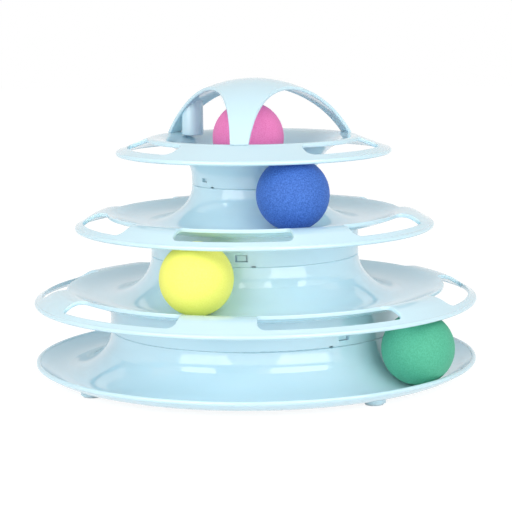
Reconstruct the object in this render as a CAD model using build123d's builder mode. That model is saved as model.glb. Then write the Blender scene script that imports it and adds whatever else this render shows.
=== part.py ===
"""Ball track tower for cats: a base dish, two slotted tracks and a top dish that twist together,
a three-legged dome over the top dish, one foam ball to each level, and four foot pads."""

import math
import os
from dataclasses import dataclass

from build123d import *

# Sizes are millimetres and angles degrees. The toy stands on z = 0 with its axis on Z.
# Azimuths are counted from the front, which is -Y, towards +X.
front_angle = -90.0
full_turn = 360.0

# Balls and the room that each has in its channel
ball_radius = 19.75
ball_rest_gap = 0.3
ball_side_gap = 5.75
ball_headroom = 1.7

# Columns, channels and flanges of the stacked tiers, from the neck outwards
neck_radius = 34.9
tier_radius_step = 23.75
column_rise_share = 0.542
top_column_rise_share = 0.492
flare_tight_share = 0.85
basin_reach = 25.35
lip_rise = 7.48
crest_round = 12.8
seam_round = 0.5
flange_width = 15.5
flange_slope = 32.6
base_rim_inset = 0.2
base_bead_rise = 4.5
bead_radius = 1.3
shell_wall = 2.2

# Slots in the flanges
slot_count = 6
slot_span = 39.2
slot_width = 13.6
slot_rim_margin = 4.8
slot_corner = 4.0
slot_round = 0.6
lower_slot_azimuth = 27.5
middle_slot_azimuth = 0.3

# Twist locks: lugs on a collar, grooves and windows in the skirt that stands over it
lock_count = 3
lock_gap = 0.3
collar_height = 10.0
groove_depth = 1.2
lug_width = 5.0
window_width = 7.0
window_height = 3.8
window_rise = 3.0
notch_width = 2.4
notch_height = 0.9
base_lock_azimuth = 42.3
base_lock_entry = -5.8
lower_lock_azimuth = 0.4
lower_lock_entry = 6.4

# Top dish, its cup and its smaller twist lock
cup_side_gap = 3.35
top_lip_rise = 5.5
top_crest_round = 0.8
top_flange_width = 19.5
top_flange_slope = 21.5
top_slot_count = 3
top_slot_span = 56.0
top_slot_azimuth = 60.0
top_slot_width = 11.3
top_slot_rim_margin = 6.8
cup_floor_rise = 7.0
cup_floor_wall = 1.6
cup_flare_rise = 4.0
cup_corner_round = 4.0
top_collar_height = 4.8
top_lug_width = 2.8
top_window_width = 4.4
top_window_height = 2.1
middle_lock_azimuth = -43.8
middle_lock_entry = 10.0

# Dome cage
leg_count = 3
leg_width = 10.0
leg_overhang = 1.1
dome_headroom = 10.3
dome_wall = 2.0
dome_round = 0.6
dome_window_reach = 24.6
tab_width = 6.0
tab_wall = 1.2
tab_depth = 3.4
tab_root = 0.6
tab_gap = 0.2

# Socket post under the dome's back left leg
post_radius = 6.2
post_bore_radius = 4.0
post_floor = 2.0
post_round = 0.8
post_inset = 14.0
post_drop = 1.1
post_azimuth = -120.0

# Feet
foot_count = 4
foot_azimuth = 42.3
foot_height = 2.4
pad_radius = 5.0
pad_height = 1.8
pad_seat_depth = 0.6
pad_gap = 0.2
pad_round = 0.5
boss_wall = 1.0

# Balls as they lie in their channels
green_azimuth = 61.0
yellow_azimuth = -14.0
blue_azimuth = 27.5
pink_azimuth = -2.3
pink_neck_inset = 16.2

# Overrun of every cut past the face that it leaves
overrun = 2.0

# Heights and radii that follow
tier_pitch = 2 * ball_radius + ball_rest_gap + ball_headroom
column_rise = column_rise_share * tier_pitch
top_column_rise = top_column_rise_share * tier_pitch
base_floor = foot_height + shell_wall
lower_floor = base_floor + tier_pitch
middle_floor = lower_floor + tier_pitch
lower_column_radius = neck_radius + tier_radius_step
base_column_radius = lower_column_radius + tier_radius_step
track_reach = ball_radius + ball_side_gap
cup_reach = ball_radius + cup_side_gap

os.makedirs("parts", exist_ok=True)


@dataclass
class Lock:
    """One twist joint between a collar and the skirt that stands over it."""

    seam: float
    skirt_radius: float
    collar_height: float
    azimuth: float
    entry: float
    lug_width: float
    window_width: float
    window_height: float

    @property
    def skirt_inside(self):
        return self.skirt_radius - shell_wall

    @property
    def collar_radius(self):
        return self.skirt_inside - lock_gap

    @property
    def groove_radius(self):
        return self.skirt_inside + groove_depth

    @property
    def window_low(self):
        return self.seam + window_rise

    @property
    def window_high(self):
        return self.window_low + self.window_height


@dataclass
class Track:
    """One slotted track: its place, and the locks under its skirt and on its column."""

    name: str
    floor: float
    slot_azimuth: float
    below: Lock
    above: Lock

    @property
    def orbit(self):
        return self.above.skirt_radius + track_reach

    @property
    def lip_radius(self):
        return self.orbit + basin_reach

    @property
    def rim_radius(self):
        return self.lip_radius + flange_width


base_lock = Lock(base_floor + column_rise, base_column_radius, collar_height, base_lock_azimuth,
                 base_lock_entry, lug_width, window_width, window_height)
lower_lock = Lock(lower_floor + column_rise, lower_column_radius, collar_height, lower_lock_azimuth,
                  lower_lock_entry, lug_width, window_width, window_height)
middle_lock = Lock(middle_floor + top_column_rise, neck_radius, top_collar_height, middle_lock_azimuth,
                   middle_lock_entry, top_lug_width, top_window_width, top_window_height)


def azimuth_place(radius, azimuth, height):
    """Point at a radius, an azimuth from the front and a height."""
    angle = math.radians(front_angle + azimuth)
    return (radius * math.cos(angle), radius * math.sin(angle), height)


def flange_end(lip, rim_radius, slope):
    """Ends of a flange's top and under faces, and the centre of the bead that closes them."""
    lean = math.radians(slope)
    across = (shell_wall / 2 * math.sin(lean), shell_wall / 2 * math.cos(lean))
    tip_radius = rim_radius - bead_radius + across[0]
    tip_height = lip[1] - (tip_radius - lip[0]) * math.tan(lean)
    bead = (tip_radius - across[0], tip_height - across[1])
    return (tip_radius, tip_height), (bead[0] - across[0], bead[1] - across[1]), bead


def flare_knees(start, end, wall):
    """Where the tight arc that leaves start upright meets the wide arc that reaches end level,
    on the face itself and on the far face of a wall, counted outwards from the arcs' centres."""
    run = end[0] - start[0]
    rise = abs(end[1] - start[1])
    tight = flare_tight_share * rise
    wide = ((run - tight) ** 2 + rise**2 - tight**2) / (2 * (rise - tight))
    tight_centre = (start[0] + tight, start[1])
    wide_centre = (end[0], end[1] + math.copysign(wide, start[1] - end[1]))
    knees = []
    for radius in (wide, wide + wall):
        reach_share = radius / (wide - tight)
        knees.append(tuple(far + (near - far) * reach_share for near, far in zip(tight_centre, wide_centre)))
    return knees


def slot_face(outer, width, span):
    """Outline of one flange slot: a block of a ring with rounded corners, centred on +X."""
    with BuildSketch() as slot:
        with BuildLine():
            inside = CenterArc((0, 0), outer - width, -span / 2, span)
            outside = CenterArc((0, 0), outer, -span / 2, span)
            Line(inside @ 0, outside @ 0)
            Line(inside @ 1, outside @ 1)
        make_face()
        fillet(slot.vertices(), slot_corner)
    return slot.sketch


def ring_block(inner, outer, low, high, width):
    """Block of a ring centred on +X, its width measured round its outside."""
    span = math.degrees(width / outer)
    with BuildPart() as block:
        with BuildSketch(Plane.XZ):
            with Locations((inner, low)):
                Rectangle(outer - inner, high - low, align=(Align.MIN, Align.MIN))
        revolve(axis=Axis.Z, revolution_arc=span)
    return block.part.rotate(Axis.Z, -span / 2)


def lock_lug(lock):
    """Lug on a collar, a gap short of the groove that it slides in."""
    inner = lock.collar_radius - shell_wall / 2
    outer = lock.groove_radius - lock_gap
    return ring_block(inner, outer, lock.window_low + lock_gap, lock.window_high - lock_gap, lock.lug_width)


def lock_cuts(lock):
    """Cuts in a skirt, each with its azimuth: the window that the locked lug shows in, the groove that the
    lug runs in, the channel that it enters by and the notch that marks the channel at the seam."""
    inner = lock.skirt_inside - overrun
    outer = lock.skirt_radius + overrun
    channel_width = lock.lug_width + 2 * lock_gap
    groove_width = math.radians(abs(lock.entry)) * lock.groove_radius + channel_width
    window = ring_block(inner, outer, lock.window_low, lock.window_high, lock.window_width)
    groove = ring_block(inner, lock.groove_radius, lock.window_low, lock.window_high, groove_width)
    channel = ring_block(inner, lock.groove_radius, lock.seam - overrun, lock.window_high, channel_width)
    notch = ring_block(inner, outer, lock.seam - overrun, lock.seam + notch_height, notch_width)
    entry_azimuth = lock.azimuth + lock.entry
    return (
        (window, lock.azimuth),
        (groove, lock.azimuth + lock.entry / 2),
        (channel, entry_azimuth),
        (notch, entry_azimuth),
    )


lower = Track("lower_track", lower_floor, lower_slot_azimuth, base_lock, lower_lock)
middle = Track("middle_track", middle_floor, middle_slot_azimuth, lower_lock, middle_lock)

# Base dish
base_orbit = base_column_radius + track_reach
base_rim_radius = lower.rim_radius - base_rim_inset
base_under = base_floor - shell_wall
base_seam = base_lock.seam
base_bead = (base_rim_radius - bead_radius, base_floor + base_bead_rise)
bead_run = base_bead[0] - base_orbit
wall_radius = (bead_run**2 + base_bead_rise**2 - shell_wall**2 / 4) / (2 * base_bead_rise + shell_wall)
wall_ends = []
for radius in (wall_radius, wall_radius + shell_wall):
    wall_share = radius / (wall_radius + shell_wall / 2)
    wall_ends.append((base_orbit + bead_run * wall_share,
                      base_floor + wall_radius + (base_bead_rise - wall_radius) * wall_share))
column_foot = (base_orbit, base_floor)
base_knee, base_under_knee = flare_knees((base_column_radius, base_seam), column_foot, shell_wall)
boss_radius = pad_radius + pad_gap + boss_wall
boss_low = pad_height - pad_seat_depth
base_lug = lock_lug(base_lock)

with BuildPart() as base_dish:
    with BuildSketch(Plane.XZ) as base_profile:
        with BuildLine():
            flare = TangentArc((base_column_radius, base_seam), base_knee, tangent=(0, -1))
            TangentArc(base_knee, column_foot, tangent=flare % 1)
            TangentArc(column_foot, wall_ends[0], tangent=(1, 0))
            Line(wall_ends[0], wall_ends[1])
            TangentArc((base_orbit, base_under), wall_ends[1], tangent=(1, 0))
            under_flare = TangentArc((base_lock.skirt_inside, base_seam), base_under_knee, tangent=(0, -1))
            TangentArc(base_under_knee, (base_orbit, base_under), tangent=under_flare % 1)
            Line((base_lock.skirt_inside, base_seam), (base_column_radius, base_seam))
        make_face()
        with Locations((base_lock.collar_radius, base_seam - shell_wall)):
            Rectangle(shell_wall, collar_height + shell_wall, align=(Align.MAX, Align.MIN))
        with Locations((base_lock.collar_radius, base_seam)):
            Rectangle(lock_gap + shell_wall / 2, shell_wall, align=(Align.MIN, Align.MAX))
        with Locations(base_bead):
            Circle(bead_radius)
        fillet(base_profile.vertices().sort_by_distance((base_column_radius, base_seam))[0], seam_round)
    revolve(axis=Axis.Z)
    with BuildSketch(Plane.XY.offset(boss_low)):
        with PolarLocations(base_orbit, foot_count, start_angle=front_angle + foot_azimuth):
            Circle(boss_radius)
    extrude(amount=base_floor - shell_wall / 2 - boss_low)
    with BuildSketch(Plane.XY.offset(boss_low)):
        with PolarLocations(base_orbit, foot_count, start_angle=front_angle + foot_azimuth):
            Circle(pad_radius + pad_gap)
    extrude(amount=pad_seat_depth, mode=Mode.SUBTRACT)
    with PolarLocations(0, lock_count, start_angle=front_angle + base_lock.azimuth):
        add(base_lug)

base_dish.part.label = "base_dish"
export_step(base_dish.part, "parts/base_dish.step")


# Lower and middle tracks
for tier in (lower, middle):
    above, below, orbit = tier.above, tier.below, tier.orbit
    column, collar, seam = above.skirt_radius, above.collar_radius, above.seam
    under = tier.floor - shell_wall
    lip = (tier.lip_radius, tier.floor + lip_rise)
    rise_radius = ((lip[0] - orbit) ** 2 + lip_rise**2) / (2 * lip_rise)
    under_share = 1 + shell_wall / rise_radius
    under_lip = (orbit + (lip[0] - orbit) * under_share,
                 tier.floor + rise_radius + (lip_rise - rise_radius) * under_share)
    tip, under_tip, bead = flange_end(lip, tier.rim_radius, flange_slope)
    knee, under_knee = flare_knees((column, seam), (orbit, tier.floor), shell_wall)
    slot = slot_face(tier.rim_radius - slot_rim_margin, slot_width, slot_span)
    slot_top = lip[1] + overrun
    slot_low = bead[1] - bead_radius - overrun
    skirt_height = tier.floor - shell_wall / 2 - below.seam
    lug = lock_lug(above)
    cuts = lock_cuts(below)
    with BuildPart() as track:
        with BuildSketch(Plane.XZ) as profile:
            with BuildLine():
                flare = TangentArc((column, seam), knee, tangent=(0, -1))
                TangentArc(knee, (orbit, tier.floor), tangent=flare % 1)
                TangentArc((orbit, tier.floor), lip, tangent=(1, 0))
                Line(lip, tip)
                Line(tip, under_tip)
                whole_rise = TangentArc((orbit, under), under_lip, tangent=(1, 0), mode=Mode.PRIVATE)
                under_flange = IntersectingLine(under_tip, Vector(lip) - Vector(tip), whole_rise)
                TangentArc((orbit, under), under_flange @ 1, tangent=(1, 0))
                under_flare = TangentArc((above.skirt_inside, seam), under_knee, tangent=(0, -1))
                TangentArc(under_knee, (orbit, under), tangent=under_flare % 1)
                Line((above.skirt_inside, seam), (column, seam))
            make_face()
            fillet(profile.vertices().sort_by_distance(lip)[0], shell_wall + crest_round)
            fillet(profile.vertices().sort_by_distance(under_flange @ 1)[0], crest_round)
            with Locations((collar, seam - shell_wall)):
                Rectangle(shell_wall, above.collar_height + shell_wall, align=(Align.MAX, Align.MIN))
            with Locations((collar, seam)):
                Rectangle(lock_gap + shell_wall / 2, shell_wall, align=(Align.MIN, Align.MAX))
            with Locations(bead):
                Circle(bead_radius)
            with Locations((below.skirt_radius, below.seam)):
                Rectangle(shell_wall, skirt_height, align=(Align.MAX, Align.MIN))
            fillet(profile.vertices().sort_by_distance((column, seam))[0], seam_round)
            fillet(profile.vertices().sort_by_distance((below.skirt_radius, below.seam))[0], seam_round)
        revolve(axis=Axis.Z)
        with BuildSketch(Plane.XY.offset(slot_top)):
            with PolarLocations(0, slot_count, start_angle=front_angle + tier.slot_azimuth):
                add(slot)
        extrude(amount=slot_low - slot_top, mode=Mode.SUBTRACT)
        fillet(track.edges(Select.LAST), slot_round)
        for block, azimuth in cuts:
            with PolarLocations(0, lock_count, start_angle=front_angle + azimuth):
                add(block, mode=Mode.SUBTRACT)
        with PolarLocations(0, lock_count, start_angle=front_angle + above.azimuth):
            add(lug)
    track.part.label = tier.name
    export_step(track.part, f"parts/{tier.name}.step")


# Top dish, whose neck holds the cup
top_lip_radius = neck_radius + cup_reach
top_rim_radius = top_lip_radius + top_flange_width
top_lip = (top_lip_radius, middle_floor + top_lip_rise + tier_pitch)
top_under_lip = (top_lip[0], top_lip[1] - shell_wall)
top_tip, top_under_tip, top_bead = flange_end(top_lip, top_rim_radius, top_flange_slope)
neck_inside, neck_foot = middle_lock.skirt_inside, middle_lock.seam
cup_floor = middle_lock.seam + cup_floor_rise
cup_low = middle_lock.seam + cup_flare_rise
cup_knee, cup_under_knee = flare_knees((neck_inside, cup_low), top_lip, -shell_wall)
top_slot = slot_face(top_rim_radius - top_slot_rim_margin, top_slot_width, top_slot_span)
top_slot_top = top_lip[1] + overrun
top_slot_low = top_bead[1] - bead_radius - overrun
top_cuts = lock_cuts(middle_lock)
dome_foot_radius = top_lip_radius + leg_overhang
dome_top = cup_floor + ball_rest_gap + 2 * ball_radius + dome_headroom + dome_wall
dome_rise = dome_top - top_lip[1]
dome_radius = (dome_foot_radius**2 + dome_rise**2) / (2 * dome_rise)
dome_centre = dome_top - dome_radius
dome_inner_foot = math.sqrt((dome_radius - dome_wall) ** 2 - (top_lip[1] - dome_centre) ** 2)
tab_ring = (dome_foot_radius + dome_inner_foot) / 2

with BuildPart() as top_dish:
    with BuildSketch(Plane.XZ) as top_profile:
        with BuildLine():
            Line((neck_inside, neck_foot), (neck_inside, cup_low))
            cup_flare = TangentArc((neck_inside, cup_low), cup_knee, tangent=(0, 1))
            TangentArc(cup_knee, top_lip, tangent=cup_flare % 1)
            Line(top_lip, top_tip)
            Line(top_tip, top_under_tip)
            neck_flare = TangentArc((neck_radius, cup_low), cup_under_knee, tangent=(0, 1))
            whole_flare = TangentArc(cup_under_knee, top_under_lip, tangent=neck_flare % 1, mode=Mode.PRIVATE)
            under_flange = IntersectingLine(top_under_tip, Vector(top_lip) - Vector(top_tip), whole_flare)
            TangentArc(cup_under_knee, under_flange @ 1, tangent=neck_flare % 1)
            Line((neck_radius, cup_low), (neck_radius, neck_foot))
            Line((neck_radius, neck_foot), (neck_inside, neck_foot))
        make_face()
        fillet(top_profile.vertices().sort_by_distance(top_lip)[0], shell_wall + top_crest_round)
        fillet(top_profile.vertices().sort_by_distance(under_flange @ 1)[0], top_crest_round)
        fillet(top_profile.vertices().sort_by_distance((neck_radius, neck_foot))[0], seam_round)
        with Locations(top_bead):
            Circle(bead_radius)
    revolve(axis=Axis.Z)
    with BuildSketch(Plane.XY.offset(top_slot_top)):
        with PolarLocations(0, top_slot_count, start_angle=front_angle + top_slot_azimuth):
            add(top_slot)
    extrude(amount=top_slot_low - top_slot_top, mode=Mode.SUBTRACT)
    fillet(top_dish.edges(Select.LAST), slot_round)
    with BuildSketch(Plane.XY.offset(cup_floor - cup_floor_wall)):
        Circle(neck_inside + shell_wall / 2)
    extrude(amount=cup_floor_wall)
    fillet(top_dish.edges().filter_by_position(Axis.Z, cup_floor, cup_floor), cup_corner_round)
    with BuildSketch(Plane.XY.offset(top_lip[1] + overrun)):
        with PolarLocations(tab_ring, leg_count, start_angle=front_angle):
            Rectangle(tab_wall + 2 * tab_gap, tab_width + 2 * tab_gap)
    extrude(amount=-shell_wall - 2 * overrun, mode=Mode.SUBTRACT)
    for block, azimuth in top_cuts:
        with PolarLocations(0, lock_count, start_angle=front_angle + azimuth):
            add(block, mode=Mode.SUBTRACT)

top_dish.part.label = "top_dish"
export_step(top_dish.part, "parts/top_dish.step")


# Dome cage: a cap of a hollow sphere, cut by three shallow upright curves that leave the legs
window_turn = full_turn / leg_count / 2
leg_foot_reach = (top_lip_radius * math.cos(math.radians(window_turn))
                  + leg_width / 2 * math.sin(math.radians(window_turn)))
leg_foot_side = (top_lip_radius * math.sin(math.radians(window_turn))
                 - leg_width / 2 * math.cos(math.radians(window_turn)))
window_sag = leg_foot_reach - dome_window_reach
window_radius = (leg_foot_side**2 + window_sag**2) / (2 * window_sag)
window_centre = dome_window_reach + window_radius
post_low = top_lip[1] - post_drop
post_ring_radius = top_lip_radius - post_inset

with BuildPart() as wand_post:
    with Locations(azimuth_place(post_ring_radius, post_azimuth, post_low)):
        Cylinder(post_radius, dome_top - post_low, align=(Align.CENTER, Align.CENTER, Align.MIN))
    fillet(wand_post.edges().group_by(Axis.Z)[0], post_round)
    with Locations((0, 0, dome_centre)):
        Sphere(dome_radius - dome_wall / 2, mode=Mode.INTERSECT)

with BuildPart() as dome_cage:
    with BuildSketch(Plane.XZ):
        with Locations((0, dome_centre)):
            Circle(dome_radius)
            Circle(dome_radius - dome_wall, mode=Mode.SUBTRACT)
        with Locations((0, top_lip[1])):
            Rectangle(dome_radius, dome_radius, align=(Align.MIN, Align.MIN), mode=Mode.INTERSECT)
    revolve(axis=Axis.Z)
    with BuildSketch(Plane.XY.offset(top_lip[1] - overrun)):
        with PolarLocations(window_centre, leg_count, start_angle=front_angle + window_turn):
            Circle(window_radius)
    extrude(amount=dome_radius, mode=Mode.SUBTRACT)
    window_edges = dome_cage.edges(Select.LAST).filter_by_position(Axis.Z, top_lip[1] + overrun, dome_top)
    fillet(window_edges, dome_round)
    with PolarLocations(tab_ring, leg_count, start_angle=front_angle):
        with Locations((0, 0, top_lip[1] - tab_depth)):
            Box(tab_wall, tab_width, tab_depth + tab_root, align=(Align.CENTER, Align.CENTER, Align.MIN))
    add(wand_post.part)
    with Locations(azimuth_place(post_ring_radius, post_azimuth, post_low + post_floor)):
        Cylinder(post_bore_radius, dome_top - post_low, align=(Align.CENTER, Align.CENTER, Align.MIN),
                 mode=Mode.SUBTRACT)

dome_cage.part.label = "dome_cage"
export_step(dome_cage.part, "parts/dome_cage.step")


# Balls, each a gap above the lowest line of its channel
balls = (
    ("green_ball", base_orbit, green_azimuth, base_floor),
    ("yellow_ball", lower.orbit, yellow_azimuth, lower_floor),
    ("blue_ball", middle.orbit, blue_azimuth, middle_floor),
    ("pink_ball", neck_inside - pink_neck_inset, pink_azimuth, cup_floor),
)

for name, orbit_radius, azimuth, floor in balls:
    with BuildPart() as ball:
        with Locations(azimuth_place(orbit_radius, azimuth, floor + ball_rest_gap + ball_radius)):
            Sphere(ball_radius)
    ball.part.label = name
    export_step(ball.part, f"parts/{name}.step")


# Foot pads, seated under the base
for number in range(foot_count):
    pad_azimuth = foot_azimuth + number * full_turn / foot_count
    with BuildPart() as pad:
        with Locations(azimuth_place(base_orbit, pad_azimuth, 0)):
            Cylinder(pad_radius, pad_height, align=(Align.CENTER, Align.CENTER, Align.MIN))
        fillet(pad.edges().group_by(Axis.Z)[0], pad_round)
    pad.part.label = f"foot_pad_{number + 1}"
    export_step(pad.part, f"parts/foot_pad_{number + 1}.step")
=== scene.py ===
"""Looks of the ball track tower: glossy moulded shells, foam balls and rubber pads in a white studio."""

import math

import bpy
import numpy as np
from mathutils import Matrix, Vector


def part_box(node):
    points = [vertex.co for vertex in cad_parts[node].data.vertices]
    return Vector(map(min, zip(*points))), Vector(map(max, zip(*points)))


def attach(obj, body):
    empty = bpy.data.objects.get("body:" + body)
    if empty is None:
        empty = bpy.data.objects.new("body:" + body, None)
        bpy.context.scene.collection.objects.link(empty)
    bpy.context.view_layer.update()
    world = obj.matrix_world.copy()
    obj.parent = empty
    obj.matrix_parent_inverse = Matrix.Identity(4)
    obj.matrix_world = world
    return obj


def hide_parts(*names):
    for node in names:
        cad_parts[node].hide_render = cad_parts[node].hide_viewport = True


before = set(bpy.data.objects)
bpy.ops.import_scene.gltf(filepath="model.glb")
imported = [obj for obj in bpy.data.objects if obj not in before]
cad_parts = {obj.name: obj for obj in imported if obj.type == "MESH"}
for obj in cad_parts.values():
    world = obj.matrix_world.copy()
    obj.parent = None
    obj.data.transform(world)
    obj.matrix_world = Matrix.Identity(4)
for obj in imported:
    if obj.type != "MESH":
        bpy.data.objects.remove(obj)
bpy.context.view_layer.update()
scene = bpy.context.scene
MM = 0.001
TOWER_MIDDLE = 80 * MM
FOAM_PIT_DEPTH = 0.07 * MM
FOAM_PIT_SIZE = 1.1 * MM


# Node and colour helpers

def linear(hex_colour):
    """Linear RGBA of an sRGB hex colour."""
    channels = np.array([int(hex_colour[i:i + 2], 16) for i in (0, 2, 4)]) / 255
    return (*np.where(channels <= 0.04045, channels / 12.92, ((channels + 0.055) / 1.055) ** 2.4), 1.0)


def add_node(tree, kind, inputs=None, **settings):
    """Adds a node, sets its properties, and sets or links its inputs."""
    node = tree.nodes.new(kind)
    for name, value in settings.items():
        setattr(node, name, value)
    for socket, value in (inputs or {}).items():
        if isinstance(value, bpy.types.NodeSocket):
            tree.links.new(value, node.inputs[socket])
        else:
            node.inputs[socket].default_value = value
    return node


def new_material(name):
    """An empty node material, its tree and its Object coordinates."""
    material = bpy.data.materials.new(name)
    material.use_nodes = True
    tree = material.node_tree
    tree.nodes.clear()
    place = add_node(tree, "ShaderNodeTexCoord").outputs["Object"]
    return material, tree, place


def per_mm(size):
    """Texture scale at which one cell is size millimetres across."""
    return 1 / (size * MM)


# Materials

def moulded_polypropylene():
    """Injection-moulded polypropylene from a polished mould: pale blue, a little clouded, with a clear
    gloss that the softboxes show in, faint orange peel, and light scattered a few millimetres into the
    wall."""
    material, tree, place = new_material("moulded_polypropylene")
    cloud = add_node(tree, "ShaderNodeTexNoise", {"Vector": place, "Scale": per_mm(55), "Detail": 3.0})
    tint = add_node(tree, "ShaderNodeMix", {0: cloud.outputs["Fac"], 6: linear("C6E6F2"),
                                            7: linear("D0ECF6")}, data_type="RGBA")
    handling = add_node(tree, "ShaderNodeTexNoise", {"Vector": place, "Scale": per_mm(18), "Detail": 4.0})
    gloss = add_node(tree, "ShaderNodeMapRange", {"Value": handling.outputs["Fac"], "To Min": 0.05,
                                                  "To Max": 0.09})
    peel = add_node(tree, "ShaderNodeTexNoise", {"Vector": place, "Scale": per_mm(3.5), "Detail": 1.0})
    relief = add_node(tree, "ShaderNodeBump", {"Height": peel.outputs["Fac"], "Strength": 0.25,
                                               "Distance": 0.05 * MM})
    surface = add_node(tree, "ShaderNodeBsdfPrincipled", {
        "Base Color": tint.outputs[2], "Roughness": gloss.outputs["Result"], "IOR": 1.49,
        "Specular IOR Level": 0.95, "Normal": relief.outputs["Normal"], "Subsurface Weight": 0.15,
        "Subsurface Scale": 3 * MM, "Subsurface Radius": (0.6, 0.9, 1.0)})
    add_node(tree, "ShaderNodeOutputMaterial", {"Surface": surface.outputs["BSDF"]})
    return material


def closed_cell_foam(name, pale, deep):
    """Cut closed-cell foam: dry and matt with a faint bloom, its opened cells seen as a fine even grain.
    The grain is drawn at 0.7 mm, about twice its real size, so that it shows."""
    material, tree, place = new_material(name)
    cells = add_node(tree, "ShaderNodeTexVoronoi", {"Vector": place, "Scale": per_mm(0.9)},
                     feature="SMOOTH_F1")
    grain = add_node(tree, "ShaderNodeTexNoise", {"Vector": place, "Scale": per_mm(0.7), "Detail": 3.0,
                                                  "Roughness": 0.6})
    share = add_node(tree, "ShaderNodeMapRange", {"Value": grain.outputs["Fac"], "From Min": 0.34,
                                                  "From Max": 0.66})
    tint = add_node(tree, "ShaderNodeMix", {0: share.outputs["Result"], 6: linear(deep), 7: linear(pale)},
                    data_type="RGBA")
    pits = add_node(tree, "ShaderNodeMath", {0: cells.outputs["Distance"], 1: grain.outputs["Fac"]},
                    operation="ADD")
    relief = add_node(tree, "ShaderNodeBump", {"Height": pits.outputs["Value"], "Strength": 0.4,
                                               "Distance": 0.08 * MM})
    surface = add_node(tree, "ShaderNodeBsdfPrincipled", {
        "Base Color": tint.outputs[2], "Roughness": 0.6, "IOR": 1.45, "Specular IOR Level": 0.25,
        "Normal": relief.outputs["Normal"], "Sheen Weight": 0.03, "Sheen Roughness": 0.5})
    add_node(tree, "ShaderNodeOutputMaterial", {"Surface": surface.outputs["BSDF"]})
    return material


def soft_rubber():
    """Thermoplastic rubber pad: frosted, pale, with a fine tooth from its mould."""
    material, tree, place = new_material("soft_rubber")
    tooth = add_node(tree, "ShaderNodeTexNoise", {"Vector": place, "Scale": per_mm(0.8), "Detail": 3.0})
    tint = add_node(tree, "ShaderNodeMix", {0: tooth.outputs["Fac"], 6: linear("C6DAE1"),
                                            7: linear("DDEBF0")}, data_type="RGBA")
    relief = add_node(tree, "ShaderNodeBump", {"Height": tooth.outputs["Fac"], "Strength": 0.4,
                                               "Distance": 0.08 * MM})
    surface = add_node(tree, "ShaderNodeBsdfPrincipled", {
        "Base Color": tint.outputs[2], "Roughness": 0.6, "IOR": 1.5, "Normal": relief.outputs["Normal"]})
    add_node(tree, "ShaderNodeOutputMaterial", {"Surface": surface.outputs["BSDF"]})
    return material


# Foam balls

def lattice_noise(points, cell, seed):
    """Smooth noise from 0 to 1: random values on a cubic lattice, blended between the eight corners round
    each point by smoothed shares of its way through the cell."""
    place = (points - points.min(axis=0)) / cell
    corner = np.floor(place).astype(int)
    way = place - corner
    way = way * way * (3 - 2 * way)
    values = np.random.default_rng(seed).random(corner.max(axis=0) + 2)
    total = np.zeros(len(points))
    for step in np.ndindex(2, 2, 2):
        total += np.where(step, way, 1 - way).prod(axis=1) * values[tuple((corner + step).T)]
    return total


def foam_ball(colour, finish, seed):
    """A sphere on a grid of the angle down from its top and the angle round its axis, each pole one point.
    Its radius is the solid's less a depth times lattice noise, so the opened cells pit the skin and nothing
    stands out of the solid."""
    rings, sides = 130, 260
    low, high = (np.array(corner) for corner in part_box(f"{colour}_ball"))
    radius = (high - low).max() / 2
    down, around = np.meshgrid(np.pi * np.arange(1, rings) / rings, 2 * np.pi * np.arange(sides) / sides,
                               indexing="ij")
    grid = np.stack((np.sin(down) * np.cos(around), np.sin(down) * np.sin(around), np.cos(down)), axis=-1)
    towards = np.concatenate((grid.reshape(-1, 3), ((0, 0, 1), (0, 0, -1))))
    depth = FOAM_PIT_DEPTH * lattice_noise(towards * radius, FOAM_PIT_SIZE, seed)
    points = (low + high) / 2 + towards * (radius - depth)[:, None]
    row = np.arange((rings - 1) * sides).reshape(rings - 1, sides)
    turned = np.roll(row, -1, axis=1)
    walls = np.stack((row[:-1], row[1:], turned[1:], turned[:-1]), axis=-1).reshape(-1, 4)
    top, bottom = np.full(sides, row.size), np.full(sides, row.size + 1)
    caps = np.concatenate((np.stack((top, row[0], turned[0]), axis=-1),
                           np.stack((bottom, turned[-1], row[-1]), axis=-1)))
    mesh = bpy.data.meshes.new(f"{colour}_foam_ball")
    mesh.from_pydata(points.tolist(), [], walls.tolist() + caps.tolist())
    mesh.polygons.foreach_set("use_smooth", np.ones(len(mesh.polygons), dtype=bool))
    mesh.materials.append(finish)
    ball = bpy.data.objects.new(f"{colour}_foam_ball", mesh)
    scene.collection.objects.link(ball)
    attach(ball, f"{colour}_roller")
    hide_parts(f"{colour}_ball")


# Finishes on the pieces

shell_finish = moulded_polypropylene()
pad_finish = soft_rubber()
for name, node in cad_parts.items():
    node.data.materials.clear()
    node.data.materials.append(pad_finish if name.startswith("foot_pad") else shell_finish)

foam_colours = {"green": ("5EBE9C", "4FAC8A"), "yellow": ("F8F87E", "F2F26C"),
                "blue": ("4E7ED2", "3059AA"), "pink": ("F68ECB", "EC7AB7")}
for seed, (colour, (pale, deep)) in enumerate(foam_colours.items()):
    foam_ball(colour, closed_cell_foam(f"{colour}_foam", pale, deep), seed)


# Studio: white floor, two softboxes in front and a broad panel low behind the camera

def seen_directly(tree):
    """One where the ray comes from the camera, a reflection or a clear thing, and zero elsewhere."""
    path = add_node(tree, "ShaderNodeLightPath")
    seen = add_node(tree, "ShaderNodeMath", {0: path.outputs["Is Camera Ray"],
                                             1: path.outputs["Is Glossy Ray"]}, operation="MAXIMUM")
    seen = add_node(tree, "ShaderNodeMath", {0: seen.outputs["Value"],
                                             1: path.outputs["Is Transmission Ray"]}, operation="MAXIMUM")
    return seen.outputs["Value"]


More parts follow.
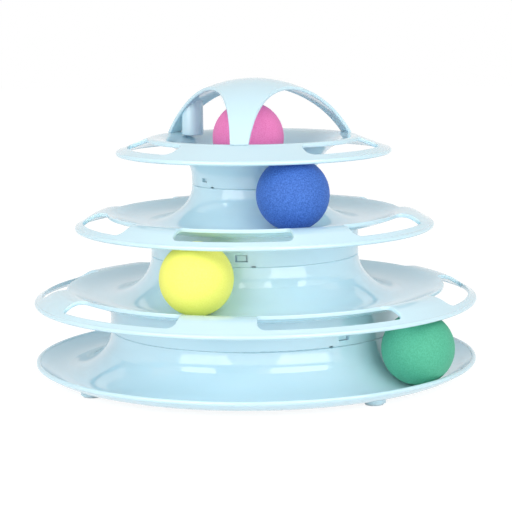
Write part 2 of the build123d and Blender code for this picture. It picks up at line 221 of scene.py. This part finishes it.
def studio_floor(half_width, glow_share, glow_strength):
    """A flat square at z = 0. To the camera and in gloss a share of it glows white, and the rest is paper
    that keeps a soft part of the shadow."""
    mesh = bpy.data.meshes.new("studio_floor")
    corners = np.array(((-1, -1, 0), (1, -1, 0), (1, 1, 0), (-1, 1, 0))) * half_width
    mesh.from_pydata(corners.tolist(), [], [(0, 1, 2, 3)])
    floor = bpy.data.objects.new("studio_floor", mesh)
    scene.collection.objects.link(floor)
    material, tree, _ = new_material("studio_paper")
    white = add_node(tree, "ShaderNodeMath", {0: seen_directly(tree), 1: glow_share}, operation="MULTIPLY")
    paper = add_node(tree, "ShaderNodeBsdfDiffuse", {"Color": linear("F7F8F9")})
    glow = add_node(tree, "ShaderNodeEmission", {"Color": linear("FFFFFF"), "Strength": glow_strength})
    mixed = add_node(tree, "ShaderNodeMixShader", {0: white.outputs["Value"], 1: paper.outputs["BSDF"],
                                                   2: glow.outputs["Emission"]})
    add_node(tree, "ShaderNodeOutputMaterial", {"Surface": mixed.outputs["Shader"]})
    mesh.materials.append(material)


def softbox(name, azimuth, elevation, distance, width, height, radiance):
    """A rectangular lamp facing the middle of the tower. Its power is the radiance of its face times its
    area times pi."""
    lamp = bpy.data.lights.new(name, "AREA")
    lamp.shape = "RECTANGLE"
    lamp.size = width
    lamp.size_y = height
    lamp.energy = radiance * math.pi * width * height
    a, e = math.radians(azimuth), math.radians(elevation)
    towards = Vector((math.sin(a) * math.cos(e), -math.cos(a) * math.cos(e), math.sin(e)))
    holder = bpy.data.objects.new(name, lamp)
    holder.location = Vector((0, 0, TOWER_MIDDLE)) + towards * distance
    holder.rotation_euler = towards.to_track_quat("Z", "Y").to_euler()
    scene.collection.objects.link(holder)


def studio_world(strength):
    """Even white surroundings, at full white to the camera, in gloss and through clear things."""
    world = bpy.data.worlds.new("studio_world")
    world.use_nodes = True
    tree = world.node_tree
    tree.nodes.clear()
    level = add_node(tree, "ShaderNodeMapRange", {"Value": seen_directly(tree), "To Min": strength,
                                                  "To Max": 1.0})
    sky = add_node(tree, "ShaderNodeBackground", {"Color": linear("FFFFFF"),
                                                  "Strength": level.outputs["Result"]})
    add_node(tree, "ShaderNodeOutputWorld", {"Surface": sky.outputs["Background"]})
    scene.world = world


studio_floor(half_width=3.0, glow_share=0.75, glow_strength=1.2)
studio_world(strength=0.47)
softbox("left_softbox", azimuth=-32, elevation=24, distance=1.1, width=0.8, height=1.05, radiance=2.2)
softbox("right_softbox", azimuth=44, elevation=24, distance=1.1, width=0.8, height=1.05, radiance=2.2)
softbox("front_panel", azimuth=7, elevation=7, distance=2.2, width=2.2, height=1.4, radiance=0.5)


# Camera at the photograph's place

def photo_camera(azimuth, elevation, roll, distance, aim_height, aim_right, lens):
    """A camera that looks at a point on the tower's axis, moved aside a little, and is rolled about its
    view."""
    a, e, r = math.radians(azimuth), math.radians(elevation), math.radians(roll)
    back = Vector((math.sin(a) * math.cos(e), -math.cos(a) * math.cos(e), math.sin(e)))
    level = Vector((math.cos(a), math.sin(a), 0))
    right = level * math.cos(r) - back.cross(level) * math.sin(r)
    data = bpy.data.cameras.new("photo_camera")
    data.sensor_width = 36.0
    data.lens = lens
    data.clip_start = 0.05
    data.clip_end = 50.0
    camera = bpy.data.objects.new("photo_camera", data)
    place = Matrix((right, back.cross(right), back)).transposed().to_4x4()
    place.translation = Vector((0, 0, aim_height)) + level * aim_right + back * distance
    camera.matrix_world = place
    scene.collection.objects.link(camera)
    scene.camera = camera


photo_camera(azimuth=7.5, elevation=8.381, roll=0.763, distance=1021.6 * MM, aim_height=66.3 * MM,
             aim_right=0.6 * MM, lens=126.56)
scene.view_settings.view_transform = "Standard"
